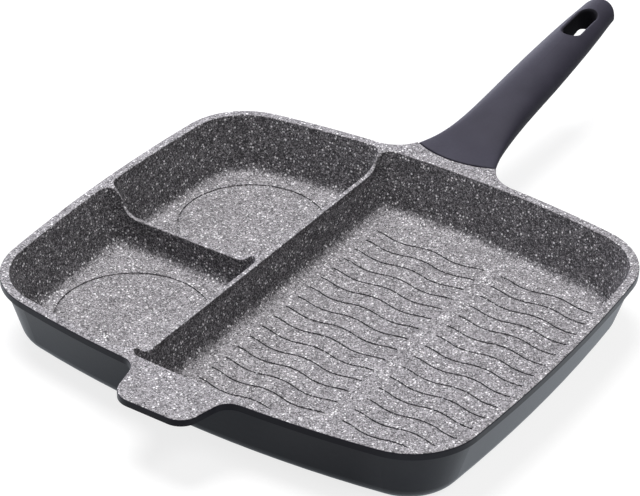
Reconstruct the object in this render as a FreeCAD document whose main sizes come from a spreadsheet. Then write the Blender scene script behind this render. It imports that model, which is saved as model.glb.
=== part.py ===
import FreeCAD, Part
import math
import os
import re
import Sketcher
from FreeCAD import Placement, Rotation, Vector

# Divided frying pan: one aluminium casting with three compartments, and a moulded handle held by one
# screw. Millimetres. +Z is up, the pan stands on z = 0 with the origin at the middle of its base,
# +Y points along the handle, and the wide grill compartment is on the +X side.

doc = FreeCAD.newDocument("divided_pan")
sheet = doc.addObject("Spreadsheet::Sheet", "sizes")

SIZES = [
    # the rim, seen from above: a square with bulging sides and round corners
    ("pan_height", 41.0, "base to rim"),
    ("rim_half_x", 149.5, "half the rim across the compartments"),
    ("rim_half_y", 130.0, "half the rim along the handle"),
    ("rim_bulge_x", 8.6, "how far the left and right sides bulge"),
    ("rim_bulge_y", 18.0, "how far the front and back sides bulge"),
    ("rim_corner", 42.0, "corner radius of the rim"),
    ("rim_width", 5.2, "flat top of the rim"),
    ("rim_rounding", 0.8, "rounding of the rim's outer edge"),
    ("inner_rounding", 0.5, "rounding of the rim's inner edge and of the dividers' tops"),
    ("lip_height", 4.0, "upright face round the rim"),
    ("lip_step", 2.2, "how far the lip stands out from the wall below it"),
    # the outside of the wall and the base
    ("outer_lean", 11.0, "how far the outer wall leans in from lip to base"),
    ("base_rounding", 13.0, "rounding from the base into the wall"),
    # the inside
    ("floor_thickness", 6.5, "base to cooking surface"),
    ("wall_lean", 8.6, "how far the inner wall leans in from rim to floor"),
    ("floor_rounding", 7.0, "rounding from the floor into the walls"),
    ("pocket_corner", 8.0, "corner radius where a divider meets the wall"),
    # the dividers
    ("long_divider_x", -37.65, "middle of the long divider"),
    ("long_divider_drop", 9.0, "rim to the long divider's top"),
    ("long_divider_top", 2.6, "thickness of the long divider at its top"),
    ("long_divider_foot", 7.2, "thickness of the long divider at the floor"),
    ("long_divider_sweep", 20.0, "length over which its ends rise to the rim"),
    ("short_divider_y", 0.0, "middle of the short divider"),
    ("short_divider_drop", 15.8, "rim to the short divider's top"),
    ("short_divider_top", 2.4, "thickness of the short divider at its top"),
    ("short_divider_foot", 4.8, "thickness of the short divider at the floor"),
    ("short_divider_sweep", 21.0, "length over which its outer end rises to the rim"),
    ("short_divider_rise", 17.0, "length over which its inner end rises to the long divider"),
    ("sweep_lift", 0.4, "how far above the rim a divider's sweep aims"),
    ("clear_above", 5.0, "how far the cutting shapes reach past what they cut"),
    # grooves in the cooking surface
    ("groove_width", 1.2, "width of every groove"),
    ("groove_depth", 0.8, "depth of every groove"),
    ("ring_radius", 42.9, "ring groove in each small compartment"),
    ("ring_x", -84.6, "middle of both rings, across"),
    ("ring_offset", 57.35, "middle of each ring from the short divider"),
    ("wave_pitch", 11.68, "distance from one wavy groove to the next"),
    ("wave_rows", 17, "wavy grooves in each column"),
    ("wave_middle_y", -2.4, "middle of the rows"),
    ("wave_height", 1.5, "half the height of a wave"),
    ("wave_period", 37.0, "length of one wave"),
    ("wave_left", 14.0, "middle of the left column"),
    ("wave_right", 96.5, "middle of the right column"),
    ("wave_length", 72.0, "length of a wavy groove"),
    ("wave_margin", 2.0, "least distance from a groove's end to the floor's rounding"),
    # the ear in front
    ("ear_out", 27.8, "ear beyond the middle of the rim's front side"),
    ("ear_reach", "=rim_half_y + ear_out", "front edge of the ear from the middle of the pan"),
    ("ear_half_front", 22.0, "half the ear's width at its front edge, before rounding"),
    ("ear_half_root", 29.5, "half the ear's width at the rim, before rounding"),
    ("ear_corner", 11.5, "corner radius of the ear"),
    ("ear_hollow", 10.5, "hollow radius where the ear leaves the rim"),
    # the lug behind the rim, and the tongue that enters the handle
    ("lug_half", 24.6, "half the lug's width"),
    ("lug_hollow", 22.0, "hollow radius where the lug leaves the rim"),
    ("lug_boss_half", 21.0, "half the width of the boss under the lug"),
    ("lug_boss_depth", 12.0, "rim to the underside of the boss"),
    ("seat_radius", 53.7, "curve of the seat for the handle"),
    ("seat_out", 4.6, "nearest point of the seat beyond the middle of the rim's back side"),
    ("seat_y", "=rim_half_y + seat_out", "nearest point of the seat from the middle of the pan"),
    ("tongue_width", 20.0, "width of the tongue"),
    ("tongue_thickness", 7.0, "thickness of the tongue"),
    ("tongue_length", 38.0, "tongue beyond the seat"),
    ("tongue_drop", 6.0, "rim to the middle of the tongue at the seat"),
    ("tongue_root", 4.0, "tongue inside the boss"),
    ("handle_rise", 8.3, "slope of the handle, degrees"),
    # the handle
    ("seat_gap", 0.6, "seam between the lug and the handle"),
    ("socket_clearance", 0.3, "play round the tongue, at its sides, top and end"),
    ("handle_length", 184.4, "handle from its seat to its end, along its slope"),
    ("grip_half", 15.65, "half the width of the grip"),
    ("grip_height", 18.9, "height of the grip"),
    ("handle_end", 12.0, "radius of the handle's end, seen from above"),
    ("end_rounding", 2.5, "rounding of the edges at the handle's end"),
    ("handle_edge", 0.6, "rounding of the handle's front edge"),
    ("slot_length", 30.0, "length of the hanging slot"),
    ("slot_width", 11.8, "width of the hanging slot"),
    ("slot_back", 31.4, "middle of the hanging slot from the handle's end"),
    ("slot_rounding", 1.2, "rounding of the slot's edges"),
    # the screw and its washer
    ("screw_place", 27.0, "screw from the seat, along the tongue"),
    ("screw_shank", 4.8, "diameter of the screw's shank"),
    ("screw_reach", 5.6, "how far the screw enters the tongue"),
    ("screw_clearance", 0.1, "play of the shank in the tongue"),
    ("shank_hole_play", 0.3, "play of the shank in the handle and in the washer"),
    ("head_diameter", 9.0, "diameter of the screw's head"),
    ("head_height", 2.4, "height of the screw's head"),
    ("head_rounding", 0.6, "rounding of the head's outer edge"),
    ("recess_width", 1.3, "width of each arm of the cross recess"),
    ("recess_span", 5.0, "length of each arm of the cross recess"),
    ("recess_depth", 1.3, "depth of the cross recess"),
    ("washer_diameter", 9.6, "outer diameter of the washer"),
    ("washer_thickness", 0.8, "thickness of the washer"),
    ("counterbore_play", 0.5, "play round the washer in the counterbore"),
    ("screw_web", 2.0, "handle wall between the washer and the tongue"),
]
for row, (alias, value, meaning) in enumerate(SIZES, start=1):
    sheet.set(f"A{row}", meaning)
    sheet.set(f"B{row}", str(value))
    sheet.setAlias(f"B{row}", alias)
doc.recompute()


def size(alias):
    return float(getattr(sheet, alias))


NAMES = {alias for alias, value, meaning in SIZES}


def bound(text):
    """The same expression for another object, with the sheet's name before each alias."""
    return re.sub(r"[a-z_]+", lambda word: "sizes." * (word.group() in NAMES) + word.group(), text)


def number(text):
    """What an expression in the sheet's aliases gives now."""
    return float(sheet.evalExpression(text))


def finished(feature):
    doc.recompute()
    if "Invalid" in feature.State or "Error" in feature.State or feature.Shape.isNull():
        raise RuntimeError(f"{feature.Name} failed: {feature.State}")
    return feature


# Bodies, sketches and the features made from them

def new_body(name):
    body = doc.addObject("PartDesign::Body", name)
    body.Label = name
    return body


def new_sketch(body, name, role="XY_Plane", offset="0"):
    sketch = body.newObject("Sketcher::SketchObject", name)
    plane = next(item for item in body.Origin.OriginFeatures if item.Role == role)
    sketch.AttachmentSupport = (plane, [""])
    sketch.MapMode = "FlatFace"
    sketch.setExpression("AttachmentOffset.Base.z", bound(offset))
    return sketch


def padded(body, sketch, name, length, down=False, centred=False):
    feature = body.newObject("PartDesign::Pad", name)
    feature.Profile = sketch
    feature.setExpression("Length", bound(length))
    feature.Reversed = down
    feature.Midplane = centred
    return finished(feature)


def tapered(body, sketch, name, length, lean):
    """Pad a sketch downwards while its sides lean in by the given distance."""
    feature = padded(body, sketch, name, length, down=True)
    straight = feature.Shape.Volume
    feature.setExpression("TaperAngle", bound(f"-atan(({lean}) / ({length}))"))
    finished(feature)
    if feature.Shape.Volume > straight:
        raise RuntimeError(f"{name} leans out")
    return feature


def pocket(body, sketch, name, depth, centred=False):
    """Cut with a sketch, downwards or to both sides, and make sure that something was cut."""
    before = body.Tip.Shape.Volume
    feature = body.newObject("PartDesign::Pocket", name)
    feature.Profile = sketch
    feature.Midplane = centred
    feature.setExpression("Length", bound(depth))
    finished(feature)
    if feature.Shape.Volume > before - 1:
        raise RuntimeError(f"{name} cuts nothing")
    return feature


def rounded(body, name, edges, radius):
    feature = body.newObject("PartDesign::Fillet", name)
    feature.Base = (feature.BaseFeature, edges)
    feature.setExpression("Radius", bound(radius))
    return finished(feature)


def combined(kind, name, **links):
    """Join, cut or intersect finished shapes."""
    feature = doc.addObject(kind, name)
    for key, value in links.items():
        setattr(feature, key, value)
    return finished(feature)


def primitive(kind, name, **sizes):
    """A box or a cylinder whose sizes are expressions."""
    feature = doc.addObject(kind, name)
    for key, text in sizes.items():
        feature.setExpression(key, bound(text))
    return feature


def put(feature, x="0", y="0", z="0"):
    for axis, text in (("x", x), ("y", y), ("z", z)):
        feature.setExpression(f"Placement.Base.{axis}", bound(text))
    return finished(feature)


def tilt(feature, along, across, up):
    """Place a thing in the tongue's own frame, which starts at the seat and climbs with the handle."""
    rise = "handle_rise * 1 deg"
    feature.Placement.Rotation = Rotation(Vector(1, 0, 0), size("handle_rise"))
    feature.setExpression("Placement.Rotation.Angle", bound("handle_rise"))
    return put(feature, x=across,
               y=f"seat_y + ({along}) * cos({rise}) - ({up}) * sin({rise})",
               z=f"pan_height - tongue_drop + ({along}) * sin({rise}) + ({up}) * cos({rise})")


# Picking edges for roundings. A point counts as lying on a line or a face within the snap distance

SNAP = 0.02


def spots(edge):
    first, last = edge.FirstParameter, edge.LastParameter
    return [edge.valueAt(first + (last - first) * share) for share in (0.0, 0.5, 1.0)]


def edges_where(shape, test):
    """The names of the edges all along which the test holds."""
    return [f"Edge{i}" for i, edge in enumerate(shape.Edges, start=1) if all(test(p) for p in spots(edge))]


def steep_edges(shape, test):
    """The names of the edges that climb at least as far as the lip is high, where the test holds."""
    found = []
    for i, edge in enumerate(shape.Edges, start=1):
        low, middle, high = spots(edge)
        if abs(low.z - high.z) > 0.9 * size("lip_height") and test(middle):
            found.append(f"Edge{i}")
    return found


def at_height(level):
    return lambda point: abs(point.z - level) < SNAP


def on_seat(point):
    spoke = math.hypot(point.x, point.y - number("seat_y + seat_radius"))
    return abs(spoke - size("seat_radius")) < SNAP


# Outlines seen from above. A side is a wide arc whose centre lies on the X or Y axis, or a straight
# line across that axis. Neighbouring sides meet in a corner arc that touches both.

def bulging_side(axis, sign, half, other_half, bulge, inset):
    """A wide arc on the axis, moved in by the inset."""
    whole = f"({other_half} ^ 2 + {bulge} ^ 2) / (2 * {bulge})"
    return {"axis": axis, "sign": sign, "middle": f"{half} - {whole}", "radius": f"{whole} - ({inset})"}


def straight_side(axis, sign, place):
    return {"axis": axis, "sign": sign, "place": place}


def rim_sides(inset):
    """Right, back, left and front side of the rim's outline, moved in by the inset."""
    wide = ("rim_half_x", "rim_half_y", "rim_bulge_x", inset)
    long = ("rim_half_y", "rim_half_x", "rim_bulge_y", inset)
    return [bulging_side("x", 1, *wide), bulging_side("y", 1, *long),
            bulging_side("x", -1, *wide), bulging_side("y", -1, *long)]


def own_axis(side):
    return Vector(1, 0, 0) if side["axis"] == "x" else Vector(0, 1, 0)


def reach_of(side):
    """Where the side crosses its own axis."""
    if "place" in side:
        return number(side["place"])
    return side["sign"] * (number(side["middle"]) + number(side["radius"]))


def inward(side, point):
    """How far the point lies inside the side, and the direction that leads further in."""
    along = own_axis(side)
    if "place" in side:
        return side["sign"] * (number(side["place"]) - point.dot(along)), along * -side["sign"]
    spoke = along * side["sign"] * number(side["middle"]) - point
    return number(side["radius"]) - spoke.Length, spoke.normalize()


# Steps that settle a corner's middle to far below the snap distance
CORNER_STEPS = 12


def corner_middle(first, second, radius):
    """The middle of the arc that touches both sides from inside."""
    x_side, y_side = (first, second) if first["axis"] == "x" else (second, first)
    point = Vector(*(reach_of(side) - side["sign"] * radius for side in (x_side, y_side)), 0)
    for _ in range(CORNER_STEPS):
        depth_x, normal_x = inward(x_side, point)
        depth_y, normal_y = inward(y_side, point)
        point = point + normal_x * (radius - depth_x) + normal_y * (radius - depth_y)
    return point


def arc_between(middle, radius, start, end):
    """The arc that runs to the left round its middle from one point to another."""
    first, last = (math.atan2(point.y - middle.y, point.x - middle.x) for point in (start, end))
    if last <= first:
        last += 2 * math.pi
    return Part.ArcOfCircle(Part.Circle(middle, Vector(0, 0, 1), radius), first, last)


def hold_at(sketch, geometry, point, axis, text):
    """Bind one coordinate of a point of the sketch to an expression."""
    kind = "DistanceX" if axis == "x" else "DistanceY"
    place = number(text)
    if place >= 0:
        item = sketch.addConstraint(Sketcher.Constraint(kind, -1, 1, geometry, point, place))
        sketch.setExpression(f"Constraints[{item}]", bound(text))
    else:
        item = sketch.addConstraint(Sketcher.Constraint(kind, geometry, point, -1, 1, -place))
        sketch.setExpression(f"Constraints[{item}]", bound(f"-1 * ({text})"))


def hold_radius(sketch, geometry, text):
    item = sketch.addConstraint(Sketcher.Constraint("Radius", geometry, number(text)))
    sketch.setExpression(f"Constraints[{item}]", bound(text))


def draw_outline(sketch, sides, corners):
    """Draw the sides, in order to the left round the shape, with a corner radius after each."""
    count = len(sides)
    radii = [number(text) for text in corners]
    middles = [corner_middle(sides[i], sides[(i + 1) % count], radii[i]) for i in range(count)]
    for i, side in enumerate(sides):
        before = middles[i - 1] - inward(side, middles[i - 1])[1] * radii[i - 1]
        after = middles[i] - inward(side, middles[i])[1] * radii[i]
        turned = middles[i] - inward(sides[(i + 1) % count], middles[i])[1] * radii[i]
        if "place" in side:
            sketch.addGeometry(Part.LineSegment(before, after))
        else:
            middle = own_axis(side) * side["sign"] * number(side["middle"])
            sketch.addGeometry(arc_between(middle, number(side["radius"]), before, after))
        sketch.addGeometry(arc_between(middles[i], radii[i], after, turned))
    for i in range(2 * count):
        sketch.addConstraint(Sketcher.Constraint("Tangent", i, 2, (i + 1) % (2 * count), 1))
    for i, side in enumerate(sides):
        if "place" in side:
            upright = "Vertical" if side["axis"] == "x" else "Horizontal"
            sketch.addConstraint(Sketcher.Constraint(upright, 2 * i))
            hold_at(sketch, 2 * i, 1, side["axis"], side["place"])
        else:
            axis = -1 if side["axis"] == "x" else -2
            sketch.addConstraint(Sketcher.Constraint("PointOnObject", 2 * i, 3, axis))
            hold_at(sketch, 2 * i, 3, side["axis"], f"{side['sign']} * ({side['middle']})")
            hold_radius(sketch, 2 * i, side["radius"])
        hold_radius(sketch, 2 * i + 1, corners[i])
    doc.recompute()


def polygon(sketch, points):
    """Straight lines from point to point, joined end to end."""
    count = len(points)
    for i in range(count):
        sketch.addGeometry(Part.LineSegment(points[i], points[(i + 1) % count]))
    for i in range(count):
        sketch.addConstraint(Sketcher.Constraint("Coincident", i, 2, (i + 1) % count, 1))


def tab_outline(sketch, sign, half_far, half_near, far, near):
    """A tab symmetric about the Y axis, from a near edge inside the rim to its far edge."""
    far_half, near_half = number(half_far), number(half_near)
    far_y, near_y = sign * number(far), sign * number(near)
    polygon(sketch, [Vector(-near_half, near_y, 0), Vector(near_half, near_y, 0),
                     Vector(far_half, far_y, 0), Vector(-far_half, far_y, 0)])
    for corner, half, along in ((1, half_near, near), (2, half_far, far)):
        hold_at(sketch, corner, 1, "x", half)
        hold_at(sketch, corner, 1, "y", f"{sign} * ({along})")
    sketch.addConstraint(Sketcher.Constraint("Symmetric", 0, 1, 1, 1, -2))
    sketch.addConstraint(Sketcher.Constraint("Symmetric", 3, 1, 2, 1, -2))
    doc.recompute()


def circle_on_y_axis(sketch, along, radius):
    sketch.addGeometry(Part.Circle(Vector(0, number(along), 0), Vector(0, 0, 1), number(radius)))
    sketch.addConstraint(Sketcher.Constraint("PointOnObject", 0, 3, -2))
    hold_at(sketch, 0, 3, "y", along)
    hold_radius(sketch, 0, radius)
    doc.recompute()


# The casting's outside: the leaning wall, the lip, the ear in front and the lug behind

def make_outside():
    body = new_body("pan_outside")
    under_lip = new_sketch(body, "wall_outline", offset="pan_height - lip_height")
    draw_outline(under_lip, rim_sides("lip_step"), ["rim_corner - lip_step"] * 4)
    wall = tapered(body, under_lip, "wall", "pan_height - lip_height", "outer_lean")
    rounded(body, "base_edge", edges_where(wall.Shape, at_height(0)), "base_rounding")
    rim = new_sketch(body, "rim_outline", offset="pan_height - lip_height")
    draw_outline(rim, rim_sides("0"), ["rim_corner"] * 4)
    padded(body, rim, "lip", "lip_height")
    add_ear(body)
    add_lug(body)
    add_tongue(body)
    on_top = at_height(size("pan_height"))
    top_edges = edges_where(body.Tip.Shape, lambda p: on_top(p) and not on_seat(p))
    seat_arc = edges_where(body.Tip.Shape, lambda p: on_top(p) and on_seat(p))
    rounded(body, "rim_edge", [edge for edge in top_edges if edge not in seat_arc], "rim_rounding")
    return body


def add_ear(body):
    outline = new_sketch(body, "ear_outline", offset="pan_height")
    tab_outline(outline, -1, "ear_half_front", "ear_half_root", "ear_reach", "rim_half_y - rim_width")
    ear = padded(body, outline, "ear", "lip_height", down=True)
    front = number("-1 * (ear_reach + rim_half_y) / 2")
    rounded(body, "ear_corners", steep_edges(ear.Shape, lambda p: p.y < front), "ear_corner")
    beside = number("ear_half_root + lip_height")
    near_rim = lambda p: front < p.y < number("lip_height - rim_half_y") and abs(p.x) < beside
    rounded(body, "ear_hollows", steep_edges(body.Tip.Shape, near_rim), "ear_hollow")


def add_lug(body):
    """The flat lug, the boss that thickens it, and the curved seat for the handle cut into both."""
    plate = new_sketch(body, "lug_outline", offset="pan_height")
    tab_outline(plate, 1, "lug_half", "lug_half",
                "rim_half_y + lug_hollow + rim_width", "rim_half_y - rim_width")
    lug = padded(body, plate, "lug", "lip_height", down=True)
    beside = number("lug_half + rim_rounding")
    near_rim = lambda p: abs(p.y - size("rim_half_y")) < size("rim_width") and abs(p.x) < beside
    rounded(body, "lug_hollows", steep_edges(lug.Shape, near_rim), "lug_hollow")
    boss = new_sketch(body, "boss_outline", offset="pan_height - lip_height")
    tab_outline(boss, 1, "lug_boss_half", "lug_boss_half", "rim_half_y + lug_hollow",
                "rim_half_y - rim_width - wall_lean")
    padded(body, boss, "lug_boss", "lug_boss_depth - lip_height", down=True)
    seat = new_sketch(body, "seat_outline", offset="pan_height")
    circle_on_y_axis(seat, "seat_y + seat_radius", "seat_radius")
    pocket(body, seat, "seat", "lug_boss_depth")


def add_tongue(body):
    tongue = body.newObject("PartDesign::AdditiveBox", "tongue")
    tongue.setExpression("Length", bound("tongue_width"))
    tongue.setExpression("Width", bound("tongue_length + tongue_root"))
    tongue.setExpression("Height", bound("tongue_thickness"))
    tilt(tongue, "-1 * tongue_root", "-tongue_width / 2", "-tongue_thickness / 2")
    hole = body.newObject("PartDesign::SubtractiveCylinder", "tapped_hole")
    hole.setExpression("Radius", bound("screw_shank / 2 + screw_clearance"))
    hole.setExpression("Height", bound("tongue_thickness"))
    tilt(hole, "screw_place", "0", "-tongue_thickness / 2")


# The three compartments: the whole inner space, less what lies beyond each divider's leaning face

LONG_DIVIDER = ("long_divider_x", "long_divider_top", "long_divider_foot", "long_divider_drop")
SHORT_DIVIDER = ("short_divider_y", "short_divider_top", "short_divider_foot", "short_divider_drop")


def cut_beyond(body, name, role, side, divider, grow):
    """Take away all that lies beyond one face of a divider, which leans as the divider tapers."""
    middle, top, foot, drop = divider
    lean = f"({foot} - {top}) / 2 / (pan_height - floor_thickness - {drop})"
    at_base = f"{middle} + {side} * ({foot} / 2 + {lean} * floor_thickness - ({grow}))"
    climb = "(pan_height + clear_above - floor_thickness)"
    above = f"{middle} + {side} * ({foot} / 2 - {lean} * {climb} - ({grow}))"
    away = f"{middle} - {side} * 2 * rim_half_x"
    high = "pan_height + clear_above"
    sketch = new_sketch(body, f"{name}_outline", role=role)
    corners = [(at_base, "0"), (above, high), (away, high), (away, "0")]
    polygon(sketch, [Vector(number(x), number(z), 0) for x, z in corners])
    for i, (x, z) in enumerate(corners):
        hold_at(sketch, i, 1, "x", x)
        if z == "0":
            sketch.addConstraint(Sketcher.Constraint("PointOnObject", i, 1, -1))
        else:
            hold_at(sketch, i, 1, "y", z)
    doc.recompute()
    pocket(body, sketch, name, "4 * rim_half_x", centred=True)


def make_space(which, grow="0"):
    """The space of one compartment, grown all round where a groove's bottom is wanted."""
    body = new_body(f"{which}_space" if grow == "0" else f"{which}_space_grown")
    opening = new_sketch(body, "opening_outline", offset="pan_height")
    inset = f"rim_width - ({grow})"
    draw_outline(opening, rim_sides(inset), [f"rim_corner - ({inset})"] * 4)
    depth = f"pan_height - floor_thickness + ({grow})"
    tapered(body, opening, "whole_space", depth, f"wall_lean * ({depth}) / (pan_height - floor_thickness)")
    cut_beyond(body, "beside_long", "XZ_Plane", 1 if which == "grill" else -1, LONG_DIVIDER, grow)
    if which != "grill":
        cut_beyond(body, "beside_short", "YZ_Plane", 1 if which == "far" else -1, SHORT_DIVIDER, grow)

    def at_divider(point):
        beside_long = abs(point.x - size("long_divider_x")) < size("long_divider_foot")
        beside_short = abs(point.y - size("short_divider_y")) < size("short_divider_foot")
        return beside_long or (beside_short and which != "grill")

    rounded(body, "corners", steep_edges(body.Tip.Shape, at_divider), f"pocket_corner + ({grow})")
    floor_edge = edges_where(body.Tip.Shape, at_height(number(f"floor_thickness - ({grow})")))
    rounded(body, "floor_edge", floor_edge, f"floor_rounding + ({grow})")
    return body


# The air above each divider. Its lower edge is the divider's top, swept up into the rim at the ends

def s_curve(sketch, start, end):
    """Two equal arcs from one level stretch to another, tangent to both and to each other."""
    run, climb = end.x - start.x, end.y - start.y
    radius = (run ** 2 + climb ** 2) / (4 * abs(climb))
    half_turn = math.atan2(abs(climb), abs(run))
    step = Vector(math.copysign(radius * math.sin(half_turn), run),
                  math.copysign(radius * (1 - math.cos(half_turn)), climb), 0)
    middle = (start + end) / 2
    sketch.addGeometry(Part.Arc(start, start + step, middle))
    sketch.addGeometry(Part.Arc(middle, end - step, end))


def chain(sketch, points):
    for first, second in zip(points, points[1:]):
        sketch.addGeometry(Part.LineSegment(first, second))


def rim_edge_at(half, other_half, bulge, across):
    """Where the rim's inner edge lies on a line that runs beside the middle of a side."""
    whole = (size(other_half) ** 2 + size(bulge) ** 2) / (2 * size(bulge))
    return size(half) - whole + math.sqrt((whole - size("rim_width")) ** 2 - across ** 2)


def make_air_above_long():
    body = new_body("above_long_divider")
    sketch = new_sketch(body, "top_line", role="YZ_Plane")
    low = number("pan_height - long_divider_drop")
    aim = number("pan_height + sweep_lift")
    high = number("pan_height + clear_above")
    end = rim_edge_at("rim_half_y", "rim_half_x", "rim_bulge_y", size("long_divider_x"))
    start = end - size("long_divider_sweep")
    s_curve(sketch, Vector(start, low, 0), Vector(end, aim, 0))
    chain(sketch, [Vector(end, aim, 0), Vector(end, high, 0), Vector(-end, high, 0), Vector(-end, aim, 0)])
    s_curve(sketch, Vector(-end, aim, 0), Vector(-start, low, 0))
    chain(sketch, [Vector(-start, low, 0), Vector(start, low, 0)])
    doc.recompute()
    padded(body, sketch, "air", "long_divider_foot + 2 * pocket_corner", centred=True)
    return put(body, x="long_divider_x")


def make_air_above_short():
    body = new_body("above_short_divider")
    sketch = new_sketch(body, "top_line", role="XZ_Plane")
    low = number("pan_height - short_divider_drop")
    aim = number("pan_height + sweep_lift")
    ledge = number("pan_height - long_divider_drop + sweep_lift")
    high = number("pan_height + clear_above")
    outer = -rim_edge_at("rim_half_x", "rim_half_y", "rim_bulge_x", size("short_divider_y"))
    inner = number("long_divider_x - long_divider_top / 2")
    left, right = outer + size("short_divider_sweep"), inner - size("short_divider_rise")
    s_curve(sketch, Vector(outer, aim, 0), Vector(left, low, 0))
    chain(sketch, [Vector(left, low, 0), Vector(right, low, 0)])
    s_curve(sketch, Vector(right, low, 0), Vector(inner, ledge, 0))
    chain(sketch, [Vector(inner, ledge, 0), Vector(inner, high, 0),
                   Vector(outer, high, 0), Vector(outer, aim, 0)])
    doc.recompute()
    padded(body, sketch, "air", "short_divider_foot + 2 * pocket_corner", centred=True)
    return put(body, y="short_divider_y")


# Grooves in the cooking surface

def ring_groove(space, sign):
    """A round groove that follows the floor and its rounding at one depth."""
    discs = []
    for name, change in (("ring_outside", "+"), ("ring_inside", "-")):
        disc = primitive("Part::Cylinder", name, Height="pan_height",
                         Radius=f"ring_radius {change} groove_width / 2")
        discs.append(put(disc, x="ring_x", y=f"short_divider_y + {sign} * ring_offset"))
    ring = combined("Part::Cut", "ring", Base=discs[0], Tool=discs[1])
    return combined("Part::MultiCommon", "ring_groove", Shapes=[space, ring])


def wave_strip(middle_x, middle_y, half_length):
    """The outline of one wavy groove: arcs of one radius, bent up and down by turns."""
    half_wave = size("wave_period") / 2
    rise = size("wave_height")
    radius = ((half_wave / 2) ** 2 + rise ** 2) / (2 * rise)
    half = size("groove_width") / 2

    def place(x, bend_at, side):
        """The point of the groove's edge beside x, on the arc that passes bend_at."""
        index = round((bend_at - middle_x) / half_wave)
        bend = 1 if index % 2 == 0 else -1
        pivot = Vector(middle_x + index * half_wave, middle_y + bend * (rise - radius), 0)
        spoke = Vector(x - pivot.x, bend * math.sqrt(radius ** 2 - (x - pivot.x) ** 2), 0)
        return pivot + spoke * (1 + bend * side * half / radius)

    count = math.ceil(half_length / half_wave)
    turns = [middle_x + (k + 0.5) * half_wave for k in range(-count, count)]
    stops = [x for x in turns if abs(x - middle_x) < half_length]
    stops = [middle_x - half_length, *stops, middle_x + half_length]
    edges = []
    for side, route in ((1, stops), (-1, stops[::-1])):
        for first, second in zip(route, route[1:]):
            between = (first + second) / 2
            edges.append(Part.Arc(*(place(x, between, side) for x in (first, between, second))).toShape())
        across = Part.LineSegment(place(second, between, side), place(second, between, -side))
        edges.append(across.toShape())
    return Part.Face(Part.Wire(edges))


def make_wave_grooves():
    """Two columns of wavy grooves, each row a repeat of the one before."""
    depth = size("groove_depth")
    rows = int(size("wave_rows"))
    strips = []
    for middle_x in (size("wave_left"), size("wave_right")):
        for row in range(rows):
            y = size("wave_middle_y") + (row - (rows - 1) / 2) * size("wave_pitch")
            face = wave_strip(middle_x, y, size("wave_length") / 2)
            face.translate(Vector(0, 0, size("floor_thickness") - depth))
            strips.append(face.extrude(Vector(0, 0, 2 * depth)))
    grooves = doc.addObject("Part::Feature", "wavy_grooves")
    grooves.Shape = Part.makeCompound(strips)
    return combined("Part::Common", "waves_on_floor", Base=grooves, Tool=make_groove_limit())


def make_groove_limit():
    """The flat part of the grill floor, where grooves may run."""
    body = new_body("groove_limit")
    sketch = new_sketch(body, "limit_outline")
    inset = "rim_width + wall_lean + floor_rounding + wave_margin"
    right, back, left, front = rim_sides(inset)
    wall = straight_side("x", -1, "long_divider_x + long_divider_foot / 2 + floor_rounding")
    corner = f"rim_corner - ({inset})"
    draw_outline(sketch, [right, back, wall, front], [corner, "wave_margin", "wave_margin", corner])
    padded(body, sketch, "limit", "pan_height")
    return body


# A face is part of a divider's top, and no wall, if its normal climbs more than this
STEEP = 0.3


def edges_to_soften(cast):
    """The rim's inner edge and the edges of the dividers' tops."""
    on_top = at_height(size("pan_height"))
    rim = max((face for face in cast.Faces if on_top(face.CenterOfMass)), key=lambda face: face.Area)
    softened = [edge for wire in rim.Wires if not wire.isSame(rim.OuterWire) for edge in wire.Edges]
    lowest = number("pan_height - short_divider_drop - sweep_lift")
    tops = []
    for face in cast.Faces:
        u_first, u_last, v_first, v_last = face.ParameterRange
        upward = face.normalAt((u_first + u_last) / 2, (v_first + v_last) / 2).z
        if upward > STEEP and lowest < face.CenterOfMass.z < size("pan_height") - SNAP:
            tops.append(face)
    borders = [edge for face in [rim, *tops] for edge in face.Edges]
    for face in tops:
        softened += [edge for edge in face.Edges if sum(edge.isSame(other) for other in borders) == 1]
    return [i for i, edge in enumerate(cast.Edges, start=1)
            if any(edge.isSame(other) for other in softened)]


def make_pan():
    spaces = [make_space(which) for which in ("grill", "far", "near")]
    air = [make_air_above_long(), make_air_above_short()]
    hollow = combined("Part::MultiFuse", "hollow", Shapes=[*spaces, *air])
    cast = combined("Part::Cut", "cast", Base=make_outside(), Tool=hollow)
    softened = doc.addObject("Part::Fillet", "softened")
    softened.Base = cast
    radius = size("inner_rounding")
    softened.Edges = [(edge, radius, radius) for edge in edges_to_soften(cast.Shape)]
    finished(softened)
    rings = [ring_groove(make_space("far", "groove_depth"), 1),
             ring_groove(make_space("near", "groove_depth"), -1)]
    grooves = combined("Part::Compound", "grooves", Links=[make_wave_grooves(), *rings])
    return combined("Part::Cut", "pan_body", Base=softened, Tool=grooves)


# The handle: one moulding, lofted through upright sections that stand across it. Each row gives the
# section's distance from the seat as a share of the handle's length, half its width as a share of
# half the grip's, its top, widest level and underside above the rim as shares of the grip's height,
# and the fullness of its upper half. The last section lies beyond the end, which is cut round.

ROUND = 0.552
HANDLE_SECTIONS = [
    (-0.009, 1.84, 0.01, -0.05, -0.67, 0.95),
    (0.084, 1.46, 0.04, -0.06, -0.65, 0.93),
    (0.138, 1.29, 0.11, -0.04, -0.61, 0.89),
    (0.225, 1.13, 0.32, 0.03, -0.55, 0.78),
    (0.328, 1.04, 0.565, 0.18, -0.42, 0.69),
    (0.480, 1.0, 0.855, 0.375, -0.145, 0.61),
    (0.631, 0.95, 1.07, 0.595, 0.095, ROUND),
    (0.783, 0.85, 1.26, 0.81, 0.31, ROUND),
    (0.897, 0.745, 1.37, 0.965, 0.51, ROUND),
    (1.033, 0.70, 1.50, 1.145, 0.74, ROUND),
]


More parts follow.
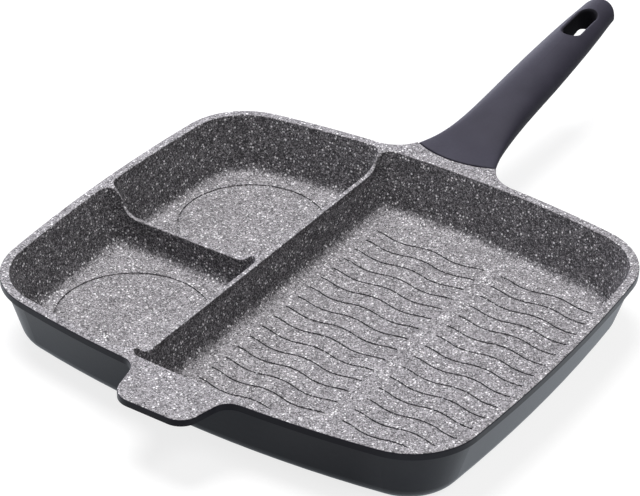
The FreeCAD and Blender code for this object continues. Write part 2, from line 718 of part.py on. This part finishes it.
def oval(share, width, top, widest, under, fullness):
    """A section made of four quarters. Its fullness is ROUND for an ellipse and 1 for square corners."""
    along = size("seat_y") + share * size("handle_length")
    half = width * size("grip_half")
    middle = size("pan_height") + widest * size("grip_height")
    quarters = []
    for side, level, full, climbs in ((1, top, fullness, True), (-1, top, fullness, False),
                                      (-1, under, ROUND, True), (1, under, ROUND, False)):
        reach = (level - widest) * size("grip_height")
        poles = [(side * half, 0), (side * half, full * reach), (side * full * half, reach), (0, reach)]
        curve = Part.BezierCurve()
        curve.setPoles([Vector(x, along, middle + z) for x, z in (poles if climbs else poles[::-1])])
        quarters.append(curve.toShape())
    return Part.Wire(quarters)


def make_handle_blank():
    blank = doc.addObject("Part::Feature", "handle_blank")
    blank.Shape = Part.makeLoft([oval(*row) for row in HANDLE_SECTIONS], True, False, False, 3)
    return finished(blank)


def make_front_block():
    """What is cut off in front of the handle, so that its face follows the seat with the seam between."""
    block = primitive("Part::Box", "front_box", Length="4 * lug_half", Width="seat_radius",
                      Height="2 * pan_height")
    put(block, x="-2 * lug_half", y="rim_half_y")
    drum = primitive("Part::Cylinder", "seat_drum", Radius="seat_radius - seat_gap",
                     Height="2 * pan_height")
    put(drum, y="seat_y + seat_radius")
    return combined("Part::Cut", "front_block", Base=block, Tool=drum)


def make_end_block():
    """What is cut off behind the handle, so that its end is round, square to the handle's slope."""
    middle = "handle_length - handle_end"
    block = primitive("Part::Box", "end_box", Length="4 * handle_end", Width="4 * handle_end",
                      Height="2 * pan_height")
    tilt(block, middle, "-2 * handle_end", "-1 * pan_height")
    drum = primitive("Part::Cylinder", "end_drum", Radius="handle_end", Height="2 * pan_height")
    tilt(drum, middle, "0", "-1 * pan_height")
    return combined("Part::Cut", "end_block", Base=block, Tool=drum)


def make_slot():
    """The hanging slot's space, square to the handle's slope."""
    body = new_body("slot_space")
    sketch = new_sketch(body, "slot_outline")
    half, reach = number("slot_width / 2"), number("(slot_length - slot_width) / 2")
    for side in (1, -1):
        start, turn, end = (Vector(side * x, side * y, 0) for x, y in
                            ((half, reach), (0, reach + half), (-half, reach)))
        sketch.addGeometry(Part.LineSegment(Vector(side * half, -side * reach, 0), start))
        sketch.addGeometry(Part.Arc(start, turn, end))
    for i in range(4):
        sketch.addConstraint(Sketcher.Constraint("Tangent", i, 2, (i + 1) % 4, 1))
    sketch.addConstraint(Sketcher.Constraint("Symmetric", 1, 3, 3, 3, -1, 1))
    sketch.addConstraint(Sketcher.Constraint("PointOnObject", 1, 3, -2))
    hold_radius(sketch, 1, "slot_width / 2")
    hold_at(sketch, 1, 3, "y", "(slot_length - slot_width) / 2")
    doc.recompute()
    padded(body, sketch, "slot", "2 * pan_height", centred=True)
    return tilt(body, "handle_length - slot_back", "0", "0")


def make_handle():
    slot = make_slot()
    fronted = combined("Part::Cut", "handle_front", Base=make_handle_blank(), Tool=make_front_block())
    ended = combined("Part::Cut", "handle_round", Base=fronted, Tool=make_end_block())
    slotted = combined("Part::Cut", "handle_slotted", Base=ended, Tool=slot)
    softened = doc.addObject("Part::Fillet", "handle_softened")
    softened.Base = slotted
    softened.Edges = [(i, radius, radius) for i, radius in handle_edges(slotted.Shape, slot.Shape)]
    finished(softened)
    socket = primitive("Part::Box", "socket", Length="tongue_width + 2 * socket_clearance",
                       Width="tongue_length + tongue_root + socket_clearance",
                       Height="tongue_thickness + socket_clearance")
    tilt(socket, "-1 * tongue_root", "-tongue_width / 2 - socket_clearance", "-tongue_thickness / 2")
    shank_hole = primitive("Part::Cylinder", "shank_hole", Radius="screw_shank / 2 + shank_hole_play",
                           Height="2 * screw_web")
    tilt(shank_hole, "screw_place", "0", "-tongue_thickness / 2 - 1.5 * screw_web")
    counterbore = primitive("Part::Cylinder", "counterbore", Height="lug_boss_depth",
                            Radius="washer_diameter / 2 + counterbore_play")
    tilt(counterbore, "screw_place", "0", "-tongue_thickness / 2 - screw_web - lug_boss_depth")
    fittings = combined("Part::MultiFuse", "handle_hollow", Shapes=[socket, shank_hole, counterbore])
    return combined("Part::Cut", "handle", Base=softened, Tool=fittings)


def handle_edges(shape, slot):
    """The edges round the front face, the slot and the end, each with its rounding."""
    climb = Rotation(Vector(1, 0, 0), size("handle_rise")).multVec(Vector(0, 1, 0))
    start = Vector(0, size("seat_y"), number("pan_height - tongue_drop"))
    front_radius, front_middle = number("seat_radius - seat_gap"), number("seat_y + seat_radius")
    end_radius, end_middle = size("handle_end"), number("handle_length - handle_end")

    def on_front(point):
        spoke = math.hypot(point.x, point.y - front_middle)
        return abs(spoke - front_radius) < SNAP and point.y < front_middle

    def on_end(point):
        return abs(math.hypot(point.x, (point - start).dot(climb) - end_middle) - end_radius) < SNAP

    def on_slot(point):
        return slot.distToShape(Part.Vertex(point))[0] < SNAP

    tests = [(on_front, "handle_edge"), (on_end, "end_rounding"), (on_slot, "slot_rounding")]
    found = []
    for i, edge in enumerate(shape.Edges, start=1):
        places = spots(edge)
        level = max(p.z for p in places) - min(p.z for p in places) < size("slot_width") / 2
        found += [(i, size(radius)) for test, radius in tests
                  if all(test(p) for p in places) and (level or test is not on_slot)]
    return found


# The screw and its washer, which hold the handle from underneath

def make_screw():
    body = new_body("handle_screw")
    sketch = new_sketch(body, "screw_profile", role="XZ_Plane")
    outline = [("0", "-head_height"), ("head_diameter / 2", "-head_height"), ("head_diameter / 2", "0"),
               ("screw_shank / 2", "0"), ("screw_shank / 2", "washer_thickness + screw_web + screw_reach"),
               ("0", "washer_thickness + screw_web + screw_reach")]
    polygon(sketch, [Vector(number(x), number(z), 0) for x, z in outline])
    for i, (x, z) in enumerate(outline):
        if x == "0":
            sketch.addConstraint(Sketcher.Constraint("PointOnObject", i, 1, -2))
        else:
            hold_at(sketch, i, 1, "x", x)
        if z == "0":
            sketch.addConstraint(Sketcher.Constraint("PointOnObject", i, 1, -1))
        else:
            hold_at(sketch, i, 1, "y", z)
    doc.recompute()
    turned = body.newObject("PartDesign::Revolution", "turned")
    turned.Profile = sketch
    turned.ReferenceAxis = (sketch, ["V_Axis"])
    turned.Angle = 360
    finished(turned)
    rounded(body, "head_edge", edges_where(turned.Shape, at_height(-size("head_height"))), "head_rounding")
    arms = [("recess", "recess_span", "recess_width"), ("cross", "recess_width", "recess_span")]
    for name, length, width in arms:
        arm = body.newObject("PartDesign::SubtractiveBox", name)
        arm.setExpression("Length", bound(length))
        arm.setExpression("Width", bound(width))
        arm.setExpression("Height", bound("recess_depth"))
        put(arm, x=f"-({length}) / 2", y=f"-({width}) / 2", z="-head_height")
    return tilt(body, "screw_place", "0", "-tongue_thickness / 2 - screw_web - washer_thickness")


def make_washer():
    body = new_body("handle_washer")
    disc = body.newObject("PartDesign::AdditiveCylinder", "disc")
    disc.setExpression("Radius", bound("washer_diameter / 2"))
    disc.setExpression("Height", bound("washer_thickness"))
    finished(disc)
    hole = body.newObject("PartDesign::SubtractiveCylinder", "hole")
    hole.setExpression("Radius", bound("screw_shank / 2 + shank_hole_play"))
    hole.setExpression("Height", bound("washer_thickness"))
    finished(hole)
    return tilt(body, "screw_place", "0", "-tongue_thickness / 2 - screw_web - washer_thickness")


pieces = {"pan_body": make_pan(), "handle": make_handle(),
          "handle_screw": make_screw(), "handle_washer": make_washer()}
doc.recompute()
for item in doc.Objects:
    if "Invalid" in item.State or "Error" in item.State:
        raise RuntimeError(f"{item.Name}: {item.State}")
os.makedirs("parts", exist_ok=True)
for name, piece in pieces.items():
    piece.Label = name
    if piece.Shape.isNull() or not piece.Shape.isValid() or len(piece.Shape.Solids) != 1:
        raise RuntimeError(f"{name} isn't one valid solid")
    piece.Shape.exportStep(f"parts/{name}.step")
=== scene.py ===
import math

import bpy
from mathutils import Matrix, Vector

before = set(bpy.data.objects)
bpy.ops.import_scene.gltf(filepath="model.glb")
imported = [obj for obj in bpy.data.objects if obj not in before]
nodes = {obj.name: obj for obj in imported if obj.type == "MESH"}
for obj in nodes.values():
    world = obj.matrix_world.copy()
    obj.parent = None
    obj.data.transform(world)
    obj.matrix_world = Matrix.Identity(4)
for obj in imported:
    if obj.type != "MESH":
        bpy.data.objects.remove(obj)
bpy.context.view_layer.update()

# Divided frying pan, dressed for its studio picture. Metres, in the frame's own axes: +Z up, the pan
# stands on z = 0, and +Y points along the handle.

MM = 0.001
WHITE = (1.0, 1.0, 1.0)
scene = bpy.context.scene


# The camera, at the photograph's angle

LENS_MM = 149.1
CAMERA_PLACE = Vector((0.6422, -1.0037, 0.8276))
CAMERA_AZIMUTH = math.radians(32.66)
CAMERA_ELEVATION = math.radians(33.05)
CAMERA_ROLL = math.radians(1.386)


def add_camera():
    data = bpy.data.cameras.new("photo_camera")
    data.lens = LENS_MM
    camera = bpy.data.objects.new("photo_camera", data)
    scene.collection.objects.link(camera)
    level = Vector((math.cos(CAMERA_AZIMUTH), math.sin(CAMERA_AZIMUTH), 0))
    backward = Vector((math.sin(CAMERA_AZIMUTH) * math.cos(CAMERA_ELEVATION),
                       -math.cos(CAMERA_AZIMUTH) * math.cos(CAMERA_ELEVATION),
                       math.sin(CAMERA_ELEVATION)))
    upward = backward.cross(level)
    right = level * math.cos(CAMERA_ROLL) + upward * math.sin(CAMERA_ROLL)
    up = upward * math.cos(CAMERA_ROLL) - level * math.sin(CAMERA_ROLL)
    turn = Matrix((right, up, backward)).transposed().to_4x4()
    camera.matrix_world = Matrix.Translation(CAMERA_PLACE) @ turn
    scene.camera = camera


# Lights: a wide soft one overhead, two bluish cards on the left and a plain one high on the right.
# Each has its place, its width, its power in watts and its colour.

LIGHTS_AIM = Vector((0.0, 0.05, 0.03))
BLUISH = (0.82, 0.84, 1.0)
LIGHTS = {
    "overhead": ((-0.45, 0.1, 2.15), 1.3, 54.0, WHITE),
    "left_card": ((-1.8, -0.3, 0.8), 0.9, 3.5, BLUISH),
    "back_card": ((-1.7, 1.5, 0.3), 1.2, 16.0, BLUISH),
    "right_card": ((1.4, -0.3, 1.9), 0.9, 14.5, WHITE),
}


def add_lights():
    for name, (place, width, power, colour) in LIGHTS.items():
        data = bpy.data.lights.new(name, "AREA")
        data.shape = "DISK"
        data.size = width
        data.energy = power
        data.color = colour
        light = bpy.data.objects.new(name, data)
        light.location = place
        light.rotation_euler = (LIGHTS_AIM - Vector(place)).to_track_quat("-Z", "Y").to_euler()
        scene.collection.objects.link(light)


# Materials

NOISE_DETAIL = 2.0
NOISE_ROUGHNESS = 0.5
MOTTLE_ENDS = (0.3, 0.7)
FLECK_SIZE_POWER = 1.25
FLECK_EDGE = 0.06


class Nodes:
    """A small builder of node trees."""

    def __init__(self, tree):
        self.tree = tree

    def add(self, kind, inputs=None, **settings):
        node = self.tree.nodes.new(kind)
        for key, value in settings.items():
            setattr(node, key, value)
        for name, source in (inputs or {}).items():
            self.feed(node, name, source)
        return node

    def feed(self, node, name, source):
        """Give a socket a link, a number or a colour."""
        socket = node.inputs[name]
        if isinstance(source, bpy.types.NodeSocket):
            self.tree.links.new(source, socket)
        elif socket.type == "RGBA" and len(source) == 3:
            socket.default_value = (*source, 1.0)
        else:
            socket.default_value = source

    def place(self, kind="Object"):
        return self.add("ShaderNodeTexCoord").outputs[kind]

    def along(self, vector, axis):
        return self.add("ShaderNodeSeparateXYZ", {0: vector}).outputs[axis]

    def math(self, operation, first, second=0.0):
        return self.add("ShaderNodeMath", {0: first, 1: second}, operation=operation).outputs[0]

    def vector(self, operation, first, second):
        """A vector made from two."""
        inputs = {0: first, 1: second}
        return self.add("ShaderNodeVectorMath", inputs, operation=operation).outputs["Vector"]

    def measure(self, operation, first, second=(0.0, 0.0, 0.0)):
        """A number made from one vector or two."""
        inputs = {0: first, 1: second}
        return self.add("ShaderNodeVectorMath", inputs, operation=operation).outputs["Value"]

    def ramp(self, value, low, high, to_low=0.0, to_high=1.0):
        inputs = {"Value": value, "From Min": low, "From Max": high, "To Min": to_low, "To Max": to_high}
        return self.add("ShaderNodeMapRange", inputs, clamp=True).outputs["Result"]

    def mix(self, share, first, second, blend="MIX"):
        inputs = {0: share, 6: first, 7: second}
        return self.add("ShaderNodeMix", inputs, data_type="RGBA", blend_type=blend).outputs[2]

    def noise(self, place, size, output=0):
        inputs = {"Vector": place, "Scale": 1 / size, "Detail": NOISE_DETAIL, "Roughness": NOISE_ROUGHNESS}
        return self.add("ShaderNodeTexNoise", inputs).outputs[output]

    def mottle(self, place, size, low=0.0, high=1.0):
        """A noise whose values between the mottle ends are stretched from low to high."""
        return self.ramp(self.noise(place, size), *MOTTLE_ENDS, low, high)

    def cells(self, place, size):
        """Distance to the nearest of scattered points one size apart, and random numbers for it."""
        node = self.add("ShaderNodeTexVoronoi", {"Vector": place, "Scale": 1 / size}, feature="F1")
        parts = self.add("ShaderNodeSeparateColor", {"Color": node.outputs["Color"]})
        return node.outputs["Distance"], parts.outputs[0], parts.outputs[1]

    def flecks(self, place, size, share, radii):
        """1 inside flecks that sit in a share of the cells. Their radii are in cell sizes."""
        distance, pick, grow = self.cells(place, size)
        radius = self.ramp(self.math("POWER", grow, FLECK_SIZE_POWER), 0.0, 1.0, *radii)
        outside = self.math("SUBTRACT", distance, radius)
        inside = self.ramp(outside, -FLECK_EDGE, FLECK_EDGE, 1.0, 0.0)
        return self.math("MULTIPLY", inside, self.math("LESS_THAN", pick, share))

    def bump(self, height, depth, strength):
        inputs = {"Height": height, "Distance": depth, "Strength": strength}
        return self.add("ShaderNodeBump", inputs).outputs[0]


def new_material(name):
    material = bpy.data.materials.new(name)
    material.use_nodes = True
    return material, Nodes(material.node_tree), material.node_tree.nodes["Principled BSDF"]


# Where the pan's coating lies. A level is a height above the base. Upward is the Z of a surface's
# direction: 1 where it faces straight up, 0 where it is upright.

RIM_EDGE_LEVEL = 40.15 * MM
RIM_EDGE_UPWARD = 0.72
LOW_LEVEL = 28.0 * MM
LOW_UPWARD = -0.155
COATING_EDGE = (0.025, 0.045)
GROOVE_LEVELS = (6.2 * MM, 6.35 * MM)
# Painted shade in the grooves, broken into random patches.
GROOVE_PATCH = 2.6 * MM
GROOVE_PATCH_NOISE = (0.54, 0.62)
GROOVE_PATCH_LIT = (0.08, 0.95)
GRAINY_EDGE_CELL = 1.1 * MM
GRAINY_EDGE_DEPTH = 0.13
# Painted light and shade: walls above the high level are painted lighter, and the upward range runs from
# painted shade on walls to painted light on floors.
HIGH_LEVEL = 20.0 * MM
HIGH_UPWARD_GAIN = 0.28
PAINTED_LIT_UPWARD = (0.57, 0.87)


def coated_part(kit, place, normal, level, upward):
    """1 on all that faces up or into the pan, and 0 on its outside."""
    outward = kit.vector("MULTIPLY", place, (1.0, 1.0, 0.0))
    faces_out = kit.math("GREATER_THAN", kit.measure("DOT_PRODUCT", normal, outward), 0.0)
    rim_edge = kit.math("MULTIPLY", kit.math("GREATER_THAN", level, RIM_EDGE_LEVEL), faces_out)
    rim_limit = kit.math("MULTIPLY", rim_edge, RIM_EDGE_UPWARD)
    low_limit = kit.math("MULTIPLY", kit.math("LESS_THAN", level, LOW_LEVEL), LOW_UPWARD)
    limit = kit.math("ADD", rim_limit, low_limit)
    beyond = kit.math("SUBTRACT", upward, limit)
    return kit.ramp(beyond, *COATING_EDGE)


def painted_light_share(kit, place, ragged, level, upward):
    """How lit the coating is painted: 1 on floors and tops, 0 on walls, which get painted shade, with a
    grainy edge between them, higher walls painted lighter, and painted shade in random patches in the
    grooves.
    """
    in_groove = kit.ramp(kit.along(ragged, "Z"), *GROOVE_LEVELS, 1.0, 0.0)
    # Painted shade in the grooves, broken into random patches of lit and shaded coating.
    groove_lit_patches = kit.ramp(kit.noise(place, GROOVE_PATCH), *GROOVE_PATCH_NOISE, *GROOVE_PATCH_LIT)
    pick = kit.cells(ragged, GRAINY_EDGE_CELL)[1]
    grainy = kit.ramp(pick, 0.0, 1.0, -GRAINY_EDGE_DEPTH, GRAINY_EDGE_DEPTH)
    is_high = kit.math("GREATER_THAN", level, HIGH_LEVEL)
    gain = kit.math("ADD", grainy, kit.math("MULTIPLY", is_high, HIGH_UPWARD_GAIN))
    # Painted shade: the more a surface faces up, the lighter its coating is painted.
    facing = kit.ramp(kit.math("ADD", upward, gain), *PAINTED_LIT_UPWARD)
    on_top = kit.math("MULTIPLY", facing, kit.math("SUBTRACT", 1.0, in_groove))
    return kit.math("ADD", on_top, kit.math("MULTIPLY", in_groove, groove_lit_patches))


# The coating's grains and flecks. A pair named SHADED_LIT is for walls, painted as shaded, first and for
# floors, painted as lit, second.
# Other pairs are the two ends of a range.

SHAKE_NOISE = 0.7 * MM
SHAKE_MIDDLE = (0.5, 0.5, 0.5)
SHAKE_REACH = (0.9 * MM,) * 3
COARSE_GRAIN = 0.85 * MM
SMALL_GRAIN = 0.5 * MM
GRAIN_SUM_ENDS = (0.3, 1.7)
# Grain tones: painted light on floors and painted shade on walls.
LIT_FLOOR_GRAINS = ((0.052, 0.0497, 0.053), (0.40, 0.384, 0.405))
SHADED_WALL_GRAINS = ((0.039, 0.0373, 0.0408), (0.285, 0.274, 0.29))
SHADED_WALL_GRAIN_POWER = 2.6
CLOUD_SIZE = 9 * MM
CLOUD_TONES = (0.86, 1.12)
CROWDING_SIZE = 4.5 * MM
CROWDING = (0.55, 1.5)
FINE_CELL = 1.0 * MM
FINE_SHARE_SHADED_LIT = (0.5, 0.6)
FINE_RADII = (0.18, 0.4)
FINE_TONE_SHADED_LIT = ((0.43, 0.415, 0.435), (0.76, 0.74, 0.77))
FINE_COVER = 0.7
WHITE_CELL = 1.7 * MM
WHITE_SHARE_SHADED_LIT = (0.47, 0.5)
WHITE_RADII = (0.13, 0.38)
WHITE_TONE = (0.85, 0.84, 0.86)
WHITE_COVER = 0.9
WHITE_HEIGHT = 0.6
DARK_CELL = 1.4 * MM
DARK_SHARE = 0.36
DARK_RADII = (0.16, 0.38)
DARK_TONE = (0.035, 0.033, 0.036)
DARK_COVER = 0.9

# The rest of the pan's surface. Its roughness is the satin outside's first and the coating's second.

SATIN_CLOUD = 4 * MM
SATIN_TONES = ((0.009, 0.0085, 0.014), (0.015, 0.0143, 0.021))
PAN_ROUGHNESS = (0.33, 0.6)
PAN_SPECULAR = 0.16
PAN_BUMP_SIZE = 0.6 * MM
PAN_BUMP_DEPTH = 0.04 * MM
PAN_BUMP_STRENGTH = 0.5


def shaken(kit, place):
    """The place, shaken a little, so that grains and edges are ragged."""
    shake = kit.vector("SUBTRACT", kit.noise(place, SHAKE_NOISE, "Color"), SHAKE_MIDDLE)
    return kit.vector("ADD", place, kit.vector("MULTIPLY", shake, SHAKE_REACH))


def grains(kit, ragged, painted_lit):
    """The coating's ground of close grains, painted darker and with fewer light ones on the walls as
    painted shade.
    """
    coarse = kit.cells(ragged, COARSE_GRAIN)[1]
    small = kit.cells(ragged, SMALL_GRAIN)[2]
    grain = kit.ramp(kit.math("ADD", coarse, small), *GRAIN_SUM_ENDS)
    floor = kit.mix(grain, *LIT_FLOOR_GRAINS)
    wall = kit.mix(kit.math("POWER", grain, SHADED_WALL_GRAIN_POWER), *SHADED_WALL_GRAINS)
    return kit.mix(painted_lit, wall, floor)


def stone_coating():
    """Speckled coating, painted lighter on what faces up and darker on the walls as painted shade, and
    satin charcoal outside.
    """
    material, kit, shader = new_material("stone_coating")
    place = kit.place()
    ragged = shaken(kit, place)
    normal = kit.add("ShaderNodeNewGeometry").outputs["Normal"]
    level = kit.along(place, "Z")
    upward = kit.along(normal, "Z")
    coated = coated_part(kit, place, normal, level, upward)
    painted_lit = painted_light_share(kit, place, ragged, level, upward)

    # The walls' flecks are fewer and darker, to match their painted shade.
    fine_share = kit.ramp(painted_lit, 0.0, 1.0, *FINE_SHARE_SHADED_LIT)
    fine = kit.flecks(ragged, FINE_CELL, fine_share, FINE_RADII)
    crowding = kit.mottle(place, CROWDING_SIZE, *CROWDING)
    white_share = kit.math("MULTIPLY", crowding, kit.ramp(painted_lit, 0.0, 1.0, *WHITE_SHARE_SHADED_LIT))
    white = kit.flecks(ragged, WHITE_CELL, white_share, WHITE_RADII)
    dark = kit.flecks(ragged, DARK_CELL, DARK_SHARE, DARK_RADII)

    tone = kit.mix(kit.math("MULTIPLY", dark, DARK_COVER), grains(kit, ragged, painted_lit), DARK_TONE)
    fine_tone = kit.mix(painted_lit, *FINE_TONE_SHADED_LIT)
    tone = kit.mix(kit.math("MULTIPLY", fine, FINE_COVER), tone, fine_tone)
    tone = kit.mix(kit.math("MULTIPLY", white, WHITE_COVER), tone, WHITE_TONE)
    tone = kit.mix(1.0, tone, kit.mottle(place, CLOUD_SIZE, *CLOUD_TONES), "MULTIPLY")
    satin = kit.mix(kit.noise(place, SATIN_CLOUD), *SATIN_TONES)
    kit.feed(shader, "Base Color", kit.mix(coated, satin, tone))
    kit.feed(shader, "Roughness", kit.ramp(coated, 0.0, 1.0, *PAN_ROUGHNESS))
    kit.feed(shader, "Specular IOR Level", PAN_SPECULAR)
    raised = kit.math("MULTIPLY", white, WHITE_HEIGHT)
    height = kit.math("ADD", kit.noise(place, PAN_BUMP_SIZE), raised)
    kit.feed(shader, "Normal", kit.bump(height, PAN_BUMP_DEPTH, PAN_BUMP_STRENGTH))
    return material


# The handle. Its slot's middle is measured from the origin along the handle's slope, and the slot's
# painted shade fades out over a short way past its outline.

HANDLE_RISE = math.radians(8.3)
SLOT_MIDDLE = 292.53 * MM
SLOT_STRAIGHT = 18.2 * MM
SLOT_HALF_WIDTH = 5.9 * MM
SLOT_FADE_START = 0.1 * MM
SLOT_FADE_END = 0.6 * MM
SLOT_PAINTED_SHADE = (0.006, 0.0057, 0.008)
SLOT_ROUGHNESS = 0.95
HANDLE_CLOUD = 18 * MM
HANDLE_TONES = ((0.0238, 0.0222, 0.0328), (0.0302, 0.0283, 0.0408))
HANDLE_MATT_CLOUD = 1.4 * MM
HANDLE_ROUGHNESS = (0.52, 0.6)
HANDLE_SPECULAR = 0.16
HANDLE_BUMP_SIZE = 0.4 * MM
HANDLE_BUMP_DEPTH = 0.03 * MM
HANDLE_BUMP_STRENGTH = 0.4


def slot_wall(kit, place):
    """1 on the wall of the hanging slot, whose outline is a stadium square to the handle's slope."""
    slope = (0.0, math.cos(HANDLE_RISE), math.sin(HANDLE_RISE))
    along = kit.measure("DOT_PRODUCT", place, slope)
    from_middle = kit.math("ABSOLUTE", kit.math("SUBTRACT", along, SLOT_MIDDLE))
    past_straight = kit.math("MAXIMUM", kit.math("SUBTRACT", from_middle, SLOT_STRAIGHT / 2), 0.0)
    spot = kit.add("ShaderNodeCombineXYZ", {"X": kit.along(place, "X"), "Y": past_straight}).outputs[0]
    fade_start = SLOT_HALF_WIDTH + SLOT_FADE_START
    fade_end = SLOT_HALF_WIDTH + SLOT_FADE_END
    return kit.ramp(kit.measure("LENGTH", spot), fade_start, fade_end, 1.0, 0.0)


def soft_touch():
    """Matt dark moulding with a faint mottle and a skin-like grain, and a dull slot wall with painted
    shade.
    """
    material, kit, shader = new_material("soft_touch")
    place = kit.place()
    in_slot = slot_wall(kit, place)
    moulded = kit.mix(kit.mottle(place, HANDLE_CLOUD), *HANDLE_TONES)
    # The slot's wall is painted near black: painted shade.
    kit.feed(shader, "Base Color", kit.mix(in_slot, moulded, SLOT_PAINTED_SHADE))
    rough = kit.mottle(place, HANDLE_MATT_CLOUD, *HANDLE_ROUGHNESS)
    slot_rough = kit.math("MULTIPLY", in_slot, SLOT_ROUGHNESS)
    kit.feed(shader, "Roughness", kit.math("MAXIMUM", rough, slot_rough))
    kit.feed(shader, "Specular IOR Level", HANDLE_SPECULAR)
    grain = kit.noise(place, HANDLE_BUMP_SIZE)
    kit.feed(shader, "Normal", kit.bump(grain, HANDLE_BUMP_DEPTH, HANDLE_BUMP_STRENGTH))
    return material


# The screw and its washer

STEEL_CLOUD = 1.8 * MM
STEEL_TONES = ((0.50, 0.50, 0.515), (0.58, 0.58, 0.585))
STEEL_DULL_CLOUD = 0.8 * MM
STEEL_ROUGHNESS = (0.28, 0.4)


def steel():
    """Plain turned steel."""
    material, kit, shader = new_material("steel")
    place = kit.place()
    kit.feed(shader, "Base Color", kit.mix(kit.mottle(place, STEEL_CLOUD), *STEEL_TONES))
    kit.feed(shader, "Metallic", 1.0)
    kit.feed(shader, "Roughness", kit.mottle(place, STEEL_DULL_CLOUD, *STEEL_ROUGHNESS))
    return material


# The studio: a pale floor that the camera sees as white with a light shadow, and a white surround.
# East is +X. In gloss the floor is dimmer in a band near x = 0, and the surround is brighter to the west.

FLOOR_HALF = 6.0
FLOOR_TONE = (0.12, 0.12, 0.125)
FLOOR_TONE_SEEN = (0.26, 0.26, 0.26)
FLOOR_ROUGHNESS = 0.9
FLOOR_GLOW_SEEN = 0.80
FLOOR_GLOW_TONE_IN_GLOSS = (0.86, 0.93, 1.0)
FLOOR_WEST_EDGE = (-0.10, -0.02)
FLOOR_WEST_GLOW = (0.80, 0.50)
FLOOR_EAST_EDGE = (0.05, 0.13)
FLOOR_EAST_GLOW = (0.0, 1.0)
SURROUND_EDGE = (-0.8, 0.4)
SURROUND_GLOW = (2.0, 0.15)
SURROUND_TONE_IN_GLOSS = (0.88, 0.87, 1.0)
SURROUND_LIGHT = 0.15


def floor_white():
    """Pale to the camera and in gloss, and darker where it throws light back on the pan."""
    material, kit, shader = new_material("floor_white")
    rays = kit.add("ShaderNodeLightPath").outputs
    seen = kit.math("MAXIMUM", rays["Is Camera Ray"], rays["Is Glossy Ray"])
    kit.feed(shader, "Base Color", kit.mix(seen, FLOOR_TONE, FLOOR_TONE_SEEN))
    kit.feed(shader, "Roughness", FLOOR_ROUGHNESS)
    kit.feed(shader, "Specular IOR Level", 0.0)
    cool = kit.mix(rays["Is Glossy Ray"], WHITE, FLOOR_GLOW_TONE_IN_GLOSS)
    kit.feed(shader, "Emission Color", cool)
    eastward = kit.along(kit.place(), "X")
    west_glow = kit.ramp(eastward, *FLOOR_WEST_EDGE, *FLOOR_WEST_GLOW)
    east_glow = kit.ramp(eastward, *FLOOR_EAST_EDGE, *FLOOR_EAST_GLOW)
    glow = kit.math("MAXIMUM", west_glow, east_glow)
    in_gloss = kit.math("MULTIPLY", rays["Is Glossy Ray"], glow)
    shown = kit.math("MULTIPLY", rays["Is Camera Ray"], FLOOR_GLOW_SEEN)
    kit.feed(shader, "Emission Strength", kit.math("MAXIMUM", shown, in_gloss))
    return material


def add_floor():
    half = FLOOR_HALF
    corners = [(-half, -half, 0), (half, -half, 0), (half, half, 0), (-half, half, 0)]
    mesh = bpy.data.meshes.new("studio_floor")
    mesh.from_pydata(corners, [], [(0, 1, 2, 3)])
    mesh.materials.append(floor_white())
    floor = bpy.data.objects.new("studio_floor", mesh)
    scene.collection.objects.link(floor)


def set_world():
    world = bpy.data.worlds.new("studio")
    scene.world = world
    world.use_nodes = True
    kit = Nodes(world.node_tree)
    background = world.node_tree.nodes["Background"]
    rays = kit.add("ShaderNodeLightPath").outputs
    seen = kit.math("MAXIMUM", rays["Is Camera Ray"], rays["Is Transmission Ray"])
    eastward = kit.along(kit.place("Generated"), "X")
    glow = kit.ramp(eastward, *SURROUND_EDGE, *SURROUND_GLOW)
    in_gloss = kit.math("MULTIPLY", rays["Is Glossy Ray"], glow)
    kit.feed(background, "Color", kit.mix(in_gloss, WHITE, SURROUND_TONE_IN_GLOSS))
    shown = kit.math("MAXIMUM", seen, in_gloss)
    kit.feed(background, "Strength", kit.math("MAXIMUM", shown, SURROUND_LIGHT))


def dress(name, material):
    item = nodes[name]
    item.data.materials.clear()
    item.data.materials.append(material)


add_camera()
add_lights()
set_world()
add_floor()
dress("pan_body", stone_coating())
dress("handle", soft_touch())
metal = steel()
dress("handle_screw", metal)
dress("handle_washer", metal)

scene.view_settings.view_transform = "Standard"
